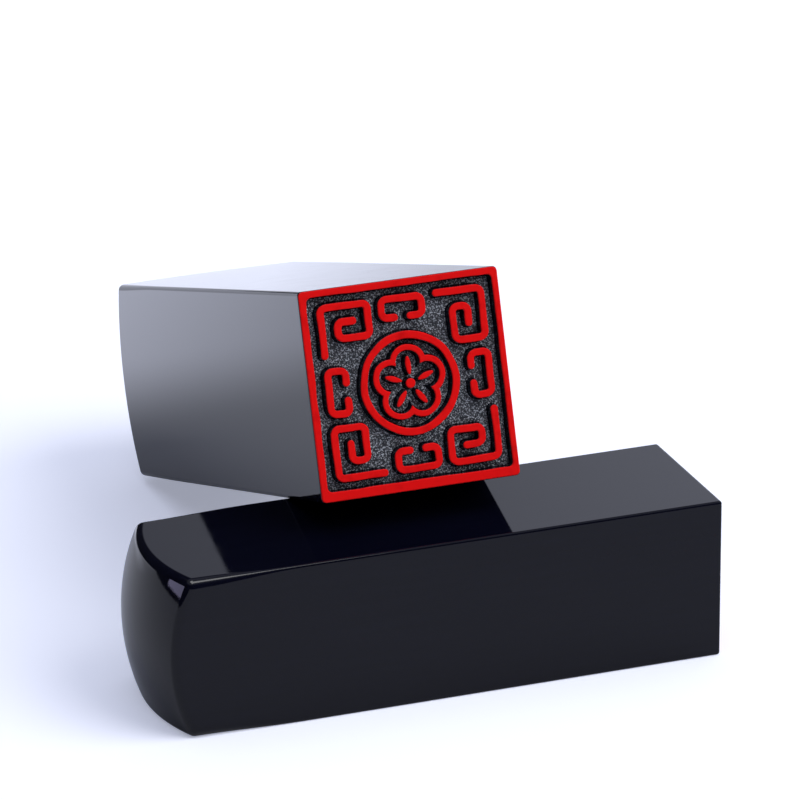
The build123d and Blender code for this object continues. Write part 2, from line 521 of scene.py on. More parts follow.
class StageSettings(bpy.types.PropertyGroup):
    """Camera and light."""

    camera_place: FloatVectorProperty(
        name="Camera", description="Place of the camera", subtype="TRANSLATION",
        default=(-0.21429, -0.56937, 0.27408),
    )
    camera_azimuth: angle_setting("Azimuth", "Heading of the view", 20.281)
    camera_elevation: angle_setting("Elevation", "Downward tilt of the view", 21.525)
    camera_roll: angle_setting("Roll", "Roll of the view", -0.393)
    focal_pixels: number_setting("Focal length", "In pixels of an image 800 wide", 5549.1)
    image_pixels: IntProperty(name="Image side", description="Side of the image in pixels", default=800)
    key_strength: number_setting("Key strength", "Strength of the key light", 2.5)
    key_spread: angle_setting("Key spread", "Softness of the key light", 50)
    room_level: number_setting("Room level", "Brightness of the dim room", 0.03)
    panel_level: number_setting("Panel level", "Brightness of the pale panel behind", 1.2)
    top_level: number_setting("Top level", "Brightness of the wide soft light overhead", 1.2)
    top_gloss: number_setting("Top gloss", "Share of the overhead light that shows in the gloss", 0.45)
    floor_lift: number_setting("Floor lift", "How much the white sheet shines for the camera", 0.44)
    floor_tint: colour_setting("Floor tint", "Tint of the sheet's white", (0.73, 0.77, 0.95))
    pool_level: number_setting("Pool level", "Brightness of the far pool of light in reflections", 1.7)
    edge_card_power: power_setting("Edge card power", "Power of the card that lights the long edge", 0.85)
    dome_card_power: power_setting("Dome card power", "Power of the card that shows in the dome", 0.11)


class SealStampSettings(bpy.types.PropertyGroup):
    """Everything that a user would change."""

    small: PointerProperty(type=SmallSealSettings)
    large: PointerProperty(type=LargeSealSettings)
    carving: PointerProperty(type=CarvingSettings)
    finish: PointerProperty(type=FinishSettings)
    stage: PointerProperty(type=StageSettings)


def settings():
    return bpy.context.scene.seal_stamps


# Places and motifs of the two seals

# Corners, places and radii of the motifs, as shares of the reach
CORNER_SPIRAL = [(0.44, 1.0), (1.0, 1.0), (1.0, 0.42), (0.62, 0.42), (0.62, 0.81), (0.81, 0.81), (0.81, 0.61)]
SIDE_BRACKET = [(-0.1, 0.78), (-0.25, 0.78), (-0.25, 1.0), (0.25, 1.0), (0.25, 0.78), (0.1, 0.78)]
BLOSSOM_LOBE_PLACE = 0.235
BLOSSOM_LOBE_RADIUS = 0.19
BLOSSOM_STAMEN_ENDS = (0.11, 0.31)
BLOSSOM_HEART_RADIUS = 0.055
CORNER_BRACKET = [(0.3, 1.0), (1.0, 1.0), (1.0, 0.3)]
CORNER_DOT_PLACE = 0.72
CORNER_DOT_RADIUS = 0.065
SIDE_PETAL_ENDS = (0.78, 1.05)
ROSETTE_PETAL_ENDS = (0.19, 0.47)
ROSETTE_HEART_RADIUS = 0.09

BLOSSOM_LOBES = 5
ROSETTE_PETALS = 8
PETAL_TIP_RADIUS = 0.00012


def seal_place(prefix, side_way):
    """The seal's own frame: its face in the XY plane, its body down -Z."""
    mounts = {mount["name"]: mount for mount in frame["record"]["mounts"]}
    out = Vector(mounts[prefix + "_printing_face"]["axis"]).normalized()
    low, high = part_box(prefix + "_seal_border_paste")
    right = Vector(side_way)
    origin = (low + high) / 2 - out * settings().carving.paste_thickness / 2
    return placement(right, out.cross(right), out, origin)


def field_of(seal):
    """Centre, width and height of the carved field."""
    centre = ((seal.left_border - seal.right_border) / 2, (seal.bottom_border - seal.top_border) / 2)
    width = seal.width - seal.left_border - seal.right_border
    height = seal.width - seal.top_border - seal.bottom_border
    return centre, width, height


def reach_of(seal):
    """From the middle of the field to the outermost stroke centrelines."""
    _, width, height = field_of(seal)
    return min(width, height) / 2 - seal.border_gap - seal.stroke_width / 2


def hook_of(seal, corners):
    reach = reach_of(seal)
    corners = [(x * reach, y * reach) for x, y in corners]
    return [hook_spine(corners, seal.turn_share * reach, seal.stroke_width / 2)]


def petal_of(seal, ends, width):
    low, high = [end * reach_of(seal) for end in ends]
    return [petal_spine(low, high, width, PETAL_TIP_RADIUS)]


def large_motifs(seal):
    """Node name, one motif's sides, and how many times it is turned round the field."""
    reach = reach_of(seal)
    lobes = (BLOSSOM_LOBES, BLOSSOM_LOBE_PLACE * reach, BLOSSOM_LOBE_RADIUS * reach)
    blossom = [lobed_spine(*lobes, seal.fine_stroke_width / 2, side) for side in (1, -1)]
    stamen = petal_of(seal, BLOSSOM_STAMEN_ENDS, seal.stamen_width)
    return [
        ("large_seal_corner_spiral_paste", hook_of(seal, CORNER_SPIRAL), SQUARE_SIDES),
        ("large_seal_side_bracket_paste", hook_of(seal, SIDE_BRACKET), SQUARE_SIDES),
        ("large_seal_ring_paste", ring_spines(seal.ring_share * reach, seal.stroke_width / 2), 1),
        ("large_seal_blossom_line_paste", blossom, 1),
        ("large_seal_blossom_stamen_paste", stamen, BLOSSOM_LOBES),
        ("large_seal_blossom_heart_paste", [disc_spine((0, 0), BLOSSOM_HEART_RADIUS * reach)], 1),
    ]


def small_motifs(seal):
    """The same list for the small seal."""
    reach = reach_of(seal)
    dot_place = (CORNER_DOT_PLACE * reach, CORNER_DOT_PLACE * reach)
    dot = disc_spine(dot_place, CORNER_DOT_RADIUS * reach)
    side_petal = petal_of(seal, SIDE_PETAL_ENDS, seal.petal_width)
    rosette_petal = petal_of(seal, ROSETTE_PETAL_ENDS, seal.petal_width)
    return [
        ("small_seal_corner_bracket_paste", hook_of(seal, CORNER_BRACKET), SQUARE_SIDES),
        ("small_seal_corner_dot_paste", [dot], SQUARE_SIDES),
        ("small_seal_side_petal_paste", side_petal, SQUARE_SIDES),
        ("small_seal_ring_paste", ring_spines(seal.ring_share * reach, seal.stroke_width / 2), 1),
        ("small_seal_rosette_petal_paste", rosette_petal, ROSETTE_PETALS),
        ("small_seal_rosette_heart_paste", [disc_spine((0, 0), ROSETTE_HEART_RADIUS * reach)], 1),
    ]


def hand_cut(seal, seed):
    """A function that bends outlines as the graver did, and leaves the outer edge true."""
    carving = settings().carving
    half = seal.width / 2 - seal.face_edge_radius

    def bend(points):
        inner = np.max(np.abs(points[:, :2]), axis=1)
        near_face = points[:, 2] > -2 * seal.carve_depth
        hold = (np.clip((half - inner) / (seal.top_border / 2), 0, 1) * near_face)[:, None]
        bent = np.array(points)
        bent[:, :2] += wander(points[:, :2], carving.wander, carving.wander_length, seed) * hold
        return bent

    return bend


# The blocks

BODY_SIDE_STEPS = 32
BODY_CORNER_STEPS = 8
FACE_EDGE_STEPS = 4
RIM_STEPS = 12

# Rows of points along the sides, as shares of the way to the dome, and the last share of that way, where
# the long edges grow as round as the rim
BODY_ROWS = (0.12, 0.24, 0.36, 0.48, 0.6, 0.72, 0.8, 0.84, 0.88, 0.92, 0.96)
GROWING_SHARE = 0.2

# The carved wall's profile: out and up in shares of the wear, then out and down in those of draft and depth
WORN_EDGE = ((-1, 0), (-0.3, -0.35), (0, -1.2))
CUT_WALL = ((0.35, 0.6), (0.6, 0.88), (1, 1))

# The slow swell of the ground: waves across and up, in radians to the metre, and its share of the roughness
SWELL_WAVES = (2600, 2100)
SWELL_SHARE = 0.5


def ring_of(width, radius):
    """The sharp core of a rounded square and its outward normals, once round."""
    core = width / 2 - radius
    points, normals = [], []
    for angle, out, along in quarters():
        turn = fan(angle, angle + math.pi / 2, BODY_CORNER_STEPS)
        steps = [2 * step / BODY_SIDE_STEPS - 1 for step in range(BODY_SIDE_STEPS + 1)]
        points += [(out + along * step) * core for step in steps] + [(out + along) * core] * len(turn)
        normals += [out] * len(steps) + list(turn)
    return np.array(points), np.array(normals)


def add_body(shell, seal):
    """The polished outside: edge of the face, four sides, soft rim and dome. Gives the face's outline."""
    rim, edge = seal.rim_radius, seal.face_edge_radius
    core, normals = ring_of(seal.width, seal.edge_radius)
    rim_core, _ = ring_of(seal.width, rim)
    out = at_height(normals, 0)
    base = at_height(core + normals * (seal.edge_radius - edge), -edge)
    rows, row_normals = [], []

    def add_row(row, normal):
        rows.append(row)
        row_normals.append((normal, normal))

    for step in range(FACE_EDGE_STEPS + 1):
        tilt = math.pi / 2 * (1 - step / FACE_EDGE_STEPS)
        normal = out * math.cos(tilt) + UP * math.sin(tilt)
        add_row(base + edge * normal, normal)

    centre = np.array([0, 0, -(seal.length - seal.dome_radius)])
    inner_radius = seal.dome_radius - rim

    def on_inner_dome(flat):
        return at_height(flat, centre[2] - np.sqrt(inner_radius**2 - (flat**2).sum(1)))

    rim_core = on_inner_dome(rim_core)
    face_end = rows[-1]
    to_rim = rim_core + out * rim - face_end
    for part in BODY_ROWS:
        growth = min(max((part - (1 - GROWING_SHARE)) / GROWING_SHARE, 0), 1)
        growth *= growth * (3 - 2 * growth)
        row = face_end + to_rim * growth
        row[:, 2] = face_end[:, 2] + to_rim[:, 2] * part
        add_row(row, out)
    dome_normal = (rim_core - centre) / inner_radius
    between = np.arccos(np.clip((out * dome_normal).sum(1), -1, 1))[:, None]
    for step in range(RIM_STEPS + 1):
        part = step / RIM_STEPS
        normal = (out * np.sin((1 - part) * between) + dome_normal * np.sin(part * between)) / np.sin(between)
        add_row(rim_core + rim * normal, normal)
    shell.add_strip(rows, row_normals)

    half = seal.width / 2 - rim
    steps = np.linspace(-half, half, BODY_SIDE_STEPS + 1)
    grid = np.stack(np.meshgrid(steps, steps, indexing="ij"), -1).reshape(-1, 2)
    cap_normal = (on_inner_dome(grid) - centre) / inner_radius
    across = BODY_SIDE_STEPS + 1
    faces = [
        (i * across + j, i * across + j + 1, (i + 1) * across + j + 1, (i + 1) * across + j)
        for i in range(BODY_SIDE_STEPS)
        for j in range(BODY_SIDE_STEPS)
    ]
    shell.add(centre + cap_normal * seal.dome_radius, faces, cap_normal)
    return rows[0]


def add_carving(shell, seal, motifs, face_outline, seed):
    """The carved face: border and strokes stand proud of a grainy ground."""
    carving = settings().carving
    centre, width, height = field_of(seal)
    depth, wear, draft = seal.carve_depth, carving.top_round, carving.wall_draft
    profile = [(wear * out, wear * up) for out, up in WORN_EDGE]
    profile += [(draft * out, -depth * down) for out, down in CUT_WALL]
    field = rectangle_spine(centre, width, height, seal.field_corner_radius, inward=True)
    strokes = [
        [side.placed(2 * math.pi * copy / copies, centre) for side in sides]
        for _, sides, copies in motifs
        for copy in range(copies)
    ]
    for spine in [field] + [side for stroke in strokes for side in stroke]:
        shell.add_strip(*wall_rows(spine, profile))

    points, triangles = fill_between(face_outline[:, :2], [field.outline(-wear)])
    shell.add(at_height(points, 0), triangles, UP)
    for stroke in strokes:
        points, triangles = fill_stroke(stroke, -wear)
        shell.add(at_height(points, 0), triangles, UP)

    # The ground goes round every stroke, and into rings through their inner sides
    feet = [stroke[0].outline(draft) for stroke in strokes]
    wells = [stroke[1].outline(draft) for stroke in strokes if len(stroke) > 1]
    spots = spots_in_square(max(width, height) / 2 - draft, carving.ground_grain, seed)
    bounds = np.array([width, height]) / 2 - draft - carving.ground_grain
    spots = spots[(np.abs(spots) < bounds).all(1)] + np.array(centre)
    add_ground(shell, fill_between(field.outline(draft), feet, spots), depth, seed)
    for well in wells:
        islands = [foot for foot in feet if np.abs(foot).max() < np.abs(well).max()]
        near = spots[np.hypot(*(spots - np.array(centre)).T) < np.abs(well - np.array(centre)).max()]
        add_ground(shell, fill_between(well, islands, near), depth, seed + 1)


def add_ground(shell, filling, depth, seed):
    """Grainy cut horn: loose points are lifted or sunk, those at a wall's foot stay."""
    points, triangles = filling
    roughness = settings().carving.ground_roughness
    random = np.random.default_rng(seed)
    grain = random.uniform(-1, 1, len(points)) * roughness
    across, up = SWELL_WAVES
    swell = np.sin(points[:, 0] * across + 1) * np.sin(points[:, 1] * up) * roughness
    lift = np.abs(grain) + swell * SWELL_SHARE
    lift[edge_points(triangles)] = 0
    shell.add(at_height(points, lift - depth), triangles, material=1)


def make_block(prefix, seal, motifs, side_way, seed):
    """One polished block with its carved face, in place of its plain solid."""
    place = seal_place(prefix, side_way)
    shell = Shell()
    face_outline = add_body(shell, seal)
    add_carving(shell, seal, motifs, face_outline, seed)
    block = shell.make(prefix + "_seal_polished_block", place, hand_cut(seal, seed))
    block.data.materials.append(horn_material(prefix, place.to_3x3() @ Vector(UP)))
    block.data.materials.append(ground_material())
    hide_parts(prefix + "_seal_block")
    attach(block, prefix + "_seal")


# Node trees


def set_inputs(tree, node, inputs):
    """Gives each input its value, or links it to another node's output."""
    for name, value in dict(inputs).items():
        if isinstance(value, bpy.types.NodeSocket):
            tree.links.new(value, node.inputs[name])
        else:
            node.inputs[name].default_value = value


def add_node(tree, kind, inputs=(), **values):
    node = tree.nodes.new(kind)
    for name, value in values.items():
        setattr(node, name, value)
    set_inputs(tree, node, inputs)
    return node


def new_group(name, kind, inputs, outputs):
    """An empty node group with named sockets, the values given to it, and its output node."""
    group = bpy.data.node_groups.new(name, kind)
    for label, socket, default in inputs:
        added = group.interface.new_socket(label, in_out="INPUT", socket_type="NodeSocket" + socket)
        if default is not None:
            added.default_value = default
    for label, socket in outputs:
        group.interface.new_socket(label, in_out="OUTPUT", socket_type="NodeSocket" + socket)
    return group, group.nodes.new("NodeGroupInput").outputs, group.nodes.new("NodeGroupOutput")


def calculated(tree, operation, first, second):
    inputs = {0: first, 1: second}
    return add_node(tree, "ShaderNodeMath", inputs, operation=operation).outputs["Value"]


def ranged(tree, value, given, wanted, kind="LINEAR"):
    """The value carried over from the given range to the wanted one."""
    inputs = {
        "Value": value, "From Min": given[0], "From Max": given[1], "To Min": wanted[0], "To Max": wanted[1]
    }
    return add_node(tree, "ShaderNodeMapRange", inputs, interpolation_type=kind).outputs["Result"]


def noise(tree, place, scale, detail, roughness=0.5):
    inputs = {"Vector": place, "Scale": scale, "Detail": detail, "Roughness": roughness}
    return add_node(tree, "ShaderNodeTexNoise", inputs).outputs["Fac"]


def mixed(tree, factor, first, second):
    inputs = {"Factor": factor, "A": (*first, 1), "B": (*second, 1)}
    return add_node(tree, "ShaderNodeMix", inputs, data_type="RGBA").outputs["Result"]


def bumped(tree, height, depth, strength):
    inputs = {"Height": height, "Strength": strength, "Distance": depth}
    return add_node(tree, "ShaderNodeBump", inputs).outputs["Normal"]


def group_node(tree, group, inputs):
    return add_node(tree, "ShaderNodeGroup", inputs, node_tree=group).outputs


def object_place(tree):
    return add_node(tree, "ShaderNodeTexCoord").outputs["Object"]


def parts_of(tree, place):
    return add_node(tree, "ShaderNodeSeparateXYZ", {"Vector": place}).outputs


# The paste

# The skin's profile: out and up in shares of thickness and skirt at its foot, then of the thickness alone
SKIRT_EDGE = ((0.10, -1), (0.30, -0.4))
SKIN_EDGE = ((0.28, 0.3), (0, 0.72), (-0.45, 0.94), (-0.95, 1))

# How far the top rises and sinks, in shares of the thickness, and the spacing of its points
SKIN_LIFT = (-0.09, 0.05)
STROKE_SKIN_SPACING = 0.00022
BORDER_SKIN_SPACING = 0.00025

# Steps between the seeds of one seal's skins
STROKE_SEED_STEP = 10
BORDER_SEED_STEP = 5


def turned_copies_tree():
    """Geometry nodes that repeat a patch round the middle of the face."""
    tree, given, made = new_group(
        "turned_copies",
        "GeometryNodeTree",
        [("Patch", "Geometry", None), ("Copies", "Int", 1), ("Finish", "Material", None)],
        [("Patches", "Geometry")],
    )
    points = add_node(tree, "GeometryNodePoints", {"Count": given["Copies"]}).outputs["Points"]
    index = add_node(tree, "GeometryNodeInputIndex").outputs["Index"]
    step = calculated(tree, "DIVIDE", 2 * math.pi, given["Copies"])
    angle = calculated(tree, "MULTIPLY", index, step)
    turn = add_node(tree, "ShaderNodeCombineXYZ", {"Z": angle}).outputs["Vector"]
    spin = add_node(tree, "FunctionNodeEulerToRotation", {"Euler": turn}).outputs["Rotation"]
    inputs = {"Points": points, "Instance": given["Patch"], "Rotation": spin}
    copies = add_node(tree, "GeometryNodeInstanceOnPoints", inputs).outputs["Instances"]
    solid = add_node(tree, "GeometryNodeRealizeInstances", {"Geometry": copies}).outputs["Geometry"]
    inputs = {"Geometry": solid, "Material": given["Finish"]}
    painted = add_node(tree, "GeometryNodeSetMaterial", inputs).outputs["Geometry"]
    set_inputs(tree, made, {"Patches": painted})
    return tree


def repeated(patch, copies, material):
    """The patch and its turned copies as one plain mesh."""
    tree = turned_copies_tree()
    modifier = patch.modifiers.new("Turned copies", "NODES")
    modifier.node_group = tree
    for label, value in (("Copies", copies), ("Finish", material)):
        modifier[tree.interface.items_tree[label].identifier] = value
    bpy.context.view_layer.update()
    graph = bpy.context.evaluated_depsgraph_get()
    mesh = bpy.data.meshes.new_from_object(patch.evaluated_get(graph))
    patch.modifiers.remove(modifier)
    patch.data = mesh
    bpy.data.node_groups.remove(tree)
    return patch


def paste_patch(sides, spacing, seed):
    """A closed skin of paste over one raised stroke. Its top is slightly uneven."""
    thickness, skirt = settings().carving.paste_thickness, settings().carving.paste_skirt
    profile = [(thickness * out, skirt * up) for out, up in SKIRT_EDGE]
    profile += [(thickness * out, thickness * up) for out, up in SKIN_EDGE]
    shell = Shell()
    for side in sides:
        shell.add_strip(*wall_rows(side, profile[::-1]))
    inset, top = profile[-1]
    spots = spots_in_square(np.abs(sides[0].outline(inset)).max(), spacing, seed)
    points, triangles = fill_stroke(sides, inset, spots)
    random = np.random.default_rng(seed)
    lift = random.uniform(*SKIN_LIFT, len(points)) * thickness
    lift[edge_points(triangles)] = 0
    lumpy = at_height(points, top + lift)
    shell.add(lumpy, triangles, smooth_normals(lumpy, triangles))
    foot, low = profile[0]
    points, triangles = fill_stroke(sides, foot)
    shell.add(at_height(points, low), [triangle[::-1] for triangle in triangles], -UP)
    return shell


def place_paste(skin, prefix, seal, side_way, node, seed):
    """Bends the skins as the relief under them is bent, and puts them on the face."""
    points = np.empty(len(skin.data.vertices) * 3)
    skin.data.vertices.foreach_get("co", points)
    points = hand_cut(seal, seed)(points.reshape(-1, 3))
    skin.data.vertices.foreach_set("co", points.ravel())
    skin.data.transform(seal_place(prefix, side_way))
    skin.data.update()
    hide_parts(node)
    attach(skin, prefix + "_seal")


def make_paste(prefix, seal, motifs, side_way, seed):
    """The red skins on every stroke and on the border of one seal."""
    centre, width, height = field_of(seal)
    material = paste_material()
    for count, (node, sides, copies) in enumerate(motifs):
        shell = paste_patch(sides, STROKE_SKIN_SPACING, seed + STROKE_SEED_STEP * count)
        skins = repeated(shell.make(node + "_skin"), copies, material)
        skins.data.transform(Matrix.Translation((*centre, 0)))
        place_paste(skins, prefix, seal, side_way, node, seed)
    outer_side = seal.width - 2 * seal.paste_lip
    outer = rectangle_spine((0, 0), outer_side, outer_side, seal.edge_radius)
    inner = rectangle_spine(centre, width, height, seal.field_corner_radius, inward=True)
    node = prefix + "_seal_border_paste"
    skin = paste_patch([outer, inner], BORDER_SKIN_SPACING, seed + BORDER_SEED_STEP).make(node + "_skin")
    skin.data.materials.append(material)
    place_paste(skin, prefix, seal, side_way, node, seed)


# Finishes

# Fineness of the marks and the grain, in features to the metre
CLOUD_FINENESS = 260
HORN_FINENESS = 3500
GRAIN_AND_GLINT_PATCH_FINENESS = 5200
GROUND_FINENESS = 7000
PASTE_FINENESS = 9000
THIN_PASTE_FINENESS = 520

# The part of a noise that most of it lies in, and the parts that become marks, pale specks of grain and
# painted glint, and thin paste
NOISE_RANGE = (0.3, 0.7)
MARK_RANGE = (0.45, 0.75)
GRAIN_AND_GLINT_RANGE = (0.255, 0.355)
THIN_RANGE = (0.55, 0.75)
THIN_SHARE = 0.8

HORN_IOR = 1.33
PASTE_IOR = 1.12
HORN_ROUGHNESS = (0.03, 0.075)
GROUND_ROUGHNESS = (0.5, 0.3)
PASTE_ROUGHNESS = (0.28, 0.5)

# Depths in metres and strengths of the fine marks that only the shading shows
HORN_MARK_DEPTH = 0.000009
GROUND_CRUMB_DEPTH = 0.00003
PASTE_CRUMB_DEPTH = 0.00001
SOFT_MARK = 0.25
CLEAR_MARK = 0.5


def new_material(name):
    """A material, its node tree and its shader."""
    material = bpy.data.materials.new(name)
    material.use_nodes = True
    return material, material.node_tree, material.node_tree.nodes["Principled BSDF"]


def streak_group():
    """Fine marks that run along an axis, from polishing lengthwise."""
    name = "lengthwise_streaks"
    if name in bpy.data.node_groups:
        return bpy.data.node_groups[name]
    group, given, made = new_group(
        name,
        "ShaderNodeTree",
        [("Axis", "Vector", (0, 0, 1)), ("Fineness", "Float", 3000.0), ("Shortening", "Float", 0.985)],
        [("Height", "Float"), ("Cloud", "Float")],
    )
    place = object_place(group)

    def vector_node(operation, inputs, output):
        return add_node(group, "ShaderNodeVectorMath", inputs, operation=operation).outputs[output]

    # The place is drawn together along the axis, so that the noise on it is drawn out
    along = vector_node("DOT_PRODUCT", {0: place, 1: given["Axis"]}, "Value")
    part = calculated(group, "MULTIPLY", along, given["Shortening"])
    back = vector_node("SCALE", {0: given["Axis"], "Scale": part}, "Vector")
    drawn = vector_node("SUBTRACT", {0: place, 1: back}, "Vector")
    set_inputs(group, made, {
        "Height": noise(group, drawn, given["Fineness"], detail=4, roughness=0.6),
        "Cloud": noise(group, place, CLOUD_FINENESS, detail=3),
    })
    return group


def grain_group():
    """Speckled grain: a mask of fine specks, which the ground paints pale as partly grain and partly painted
    glints, and a height for the crumbs' bump.
    """
    name = "fine_grain"
    if name in bpy.data.node_groups:
        return bpy.data.node_groups[name]
    group, given, made = new_group(
        name, "ShaderNodeTree", [("Fineness", "Float", 6000.0)], [("Mask", "Float"), ("Height", "Float")]
    )
    place = object_place(group)
    specks = noise(group, place, given["Fineness"], detail=2)
    patches = noise(group, place, GRAIN_AND_GLINT_PATCH_FINENESS, detail=1)
    # The mask marks the specks that the ground paints pale, partly as grain and partly as painted glints
    mask = ranged(group, calculated(group, "MULTIPLY", specks, patches), GRAIN_AND_GLINT_RANGE, (0, 1))
    inputs = {"Vector": place, "Scale": given["Fineness"]}
    crumbs = add_node(group, "ShaderNodeTexVoronoi", inputs, feature="F1").outputs["Distance"]
    set_inputs(group, made, {"Mask": mask, "Height": crumbs})
    return group


def horn_material(prefix, axis):
    """Black horn, polished lengthwise to a gloss."""
    finish = settings().finish
    material, tree, shader = new_material(prefix + "_polished_horn")
    streaks = group_node(tree, streak_group(), {"Axis": axis, "Fineness": HORN_FINENESS})
    growth = ranged(tree, streaks["Height"], MARK_RANGE, (0, 1))
    set_inputs(tree, shader, {
        "Base Color": mixed(tree, growth, finish.horn, finish.horn_pale),
        "Roughness": ranged(tree, streaks["Cloud"], NOISE_RANGE, HORN_ROUGHNESS),
        "Normal": bumped(tree, streaks["Height"], HORN_MARK_DEPTH, SOFT_MARK),
        "IOR": HORN_IOR,
    })
    return material


def ground_material():
    """Cut horn, dull, with pale specks that are partly grain and partly painted glints."""
    name = "cut_horn_ground"
    if name in bpy.data.materials:
        return bpy.data.materials[name]
    finish = settings().finish
    material, tree, shader = new_material(name)
    grain = group_node(tree, grain_group(), {"Fineness": GROUND_FINENESS})
    # The pale specks in the colour are partly grain and partly painted glints, and they are glossier than the
    # rest
    set_inputs(tree, shader, {
        "Base Color": mixed(tree, grain["Mask"], finish.ground, finish.ground_grain_and_glint),
        "Roughness": ranged(tree, grain["Mask"], (0, 1), GROUND_ROUGHNESS),
        "Normal": bumped(tree, grain["Height"], GROUND_CRUMB_DEPTH, CLEAR_MARK),
    })
    return material


def paste_material():
    """Red seal paste: oily, dense, thinner and darker in places."""
    name = "red_seal_paste"
    if name in bpy.data.materials:
        return bpy.data.materials[name]
    finish = settings().finish
    material, tree, shader = new_material(name)
    grain = group_node(tree, grain_group(), {"Fineness": PASTE_FINENESS})
    cover = noise(tree, object_place(tree), THIN_PASTE_FINENESS, detail=3)
    thin = ranged(tree, cover, THIN_RANGE, (0, THIN_SHARE))
    set_inputs(tree, shader, {
        "Base Color": mixed(tree, thin, finish.paste, finish.paste_dark),
        "Roughness": ranged(tree, cover, NOISE_RANGE, PASTE_ROUGHNESS),
        "Normal": bumped(tree, grain["Height"], PASTE_CRUMB_DEPTH, SOFT_MARK),
        "IOR": PASTE_IOR,
    })
    return material


# The stage

FLOOR_HALF_SIDE = 3.0
FLOOR_COLOUR = (0.68, 0.70, 0.76, 1)
FLOOR_ROUGHNESS = 0.7
FLOOR_GLOSS = 0.1

# The far pool of light on the floor: the turn of its slant, where it rises along that and from the front and
# fades at the back and on the right, in metres, and the share of it that is left at the back
POOL_TURN = -math.pi / 4
POOL_SLANT = (0.005, 0.080)
POOL_FRONT = (0.084, 0.112)
POOL_BACK = (0.145, 0.163)
POOL_BACK_SHARE = 0.29
POOL_RIGHT = (0.036, 0.068)

# Where the overhead light and the panel lie, in parts of a unit ray, and the panel's levels from the left
OVERHEAD_RISE = (0.66, 0.84)
PANEL_TOP = (0.45, 0.60)
PANEL_BEHIND = (0.0, 0.35)
PANEL_STOPS = ((0.17, 0.0), (0.24, 0.35), (0.30, 0.45), (0.34, 0.68), (0.40, 0.90))
ROOM_TINT = (0.91, 0.95, 1.13, 1)
WHITE = (1, 1, 1, 1)

KEY_WAY = (0.57, -0.45, 0.69)
KEY_TINT = (1, 0.985, 0.96)

# The two cards of light, where each stands, what it shines at and how large it is, in metres
EDGE_CARD = {
    "place": (-0.01, -0.06, 0.36), "aim": (-0.03, -0.01, 0.02), "size": (0.17, 0.22), "tint": (1, 1, 1)
}
DOME_CARD = {
    "place": (-0.485, 0.202, 0.069), "aim": (-0.035, -0.008, 0.019), "size": (0.14, 0.065),
    "tint": (0.66, 0.63, 1),
}

CLIP_RANGE = (0.01, 20)


def make_floor():
    """A wide white sheet that takes the shadow."""
    stage = settings().stage
    mesh = bpy.data.meshes.new("floor")
    corners = [(x * FLOOR_HALF_SIDE, y * FLOOR_HALF_SIDE, 0) for x, y in ((-1, -1), (1, -1), (1, 1), (-1, 1))]
    mesh.from_pydata(corners, [], [(0, 1, 2, 3)])
    floor = new_object("floor", mesh)
    material, tree, shader = new_material("white_floor")
    inputs = {"Base Color": FLOOR_COLOUR, "Roughness": FLOOR_ROUGHNESS, "Specular IOR Level": FLOOR_GLOSS}
    set_inputs(tree, shader, inputs)

    # The white of the sheet for the camera, and its far bright pool in reflections
    path = add_node(tree, "ShaderNodeLightPath").outputs
    place = object_place(tree)
    inputs = {"Vector": place, "Rotation": (0, 0, POOL_TURN)}
    turned = add_node(tree, "ShaderNodeMapping", inputs).outputs["Vector"]
    parts = parts_of(tree, place)
    pool = ranged(tree, parts_of(tree, turned)["X"], POOL_SLANT, (0, stage.pool_level))
    for bound in (
        ranged(tree, parts["Y"], POOL_FRONT, (0, 1), "SMOOTHSTEP"),
        ranged(tree, parts["Y"], POOL_BACK, (1, POOL_BACK_SHARE)),
        ranged(tree, parts["X"], POOL_RIGHT, (1, 0)),
    ):
        pool = calculated(tree, "MULTIPLY", pool, bound)
    mirrored = calculated(tree, "MAXIMUM", path["Is Glossy Ray"], path["Is Transmission Ray"])
    reflected = calculated(tree, "MULTIPLY", mirrored, pool)
    seen = calculated(tree, "MULTIPLY", path["Is Camera Ray"], stage.floor_lift)
    level = calculated(tree, "ADD", seen, reflected)
    inputs = {"Color": (*stage.floor_tint, 1), "Strength": level}
    white = add_node(tree, "ShaderNodeEmission", inputs).outputs["Emission"]
    both = add_node(tree, "ShaderNodeAddShader", {0: shader.outputs["BSDF"], 1: white}).outputs["Shader"]
    set_inputs(tree, tree.nodes["Material Output"], {"Surface": both})
    mesh.materials.append(material)


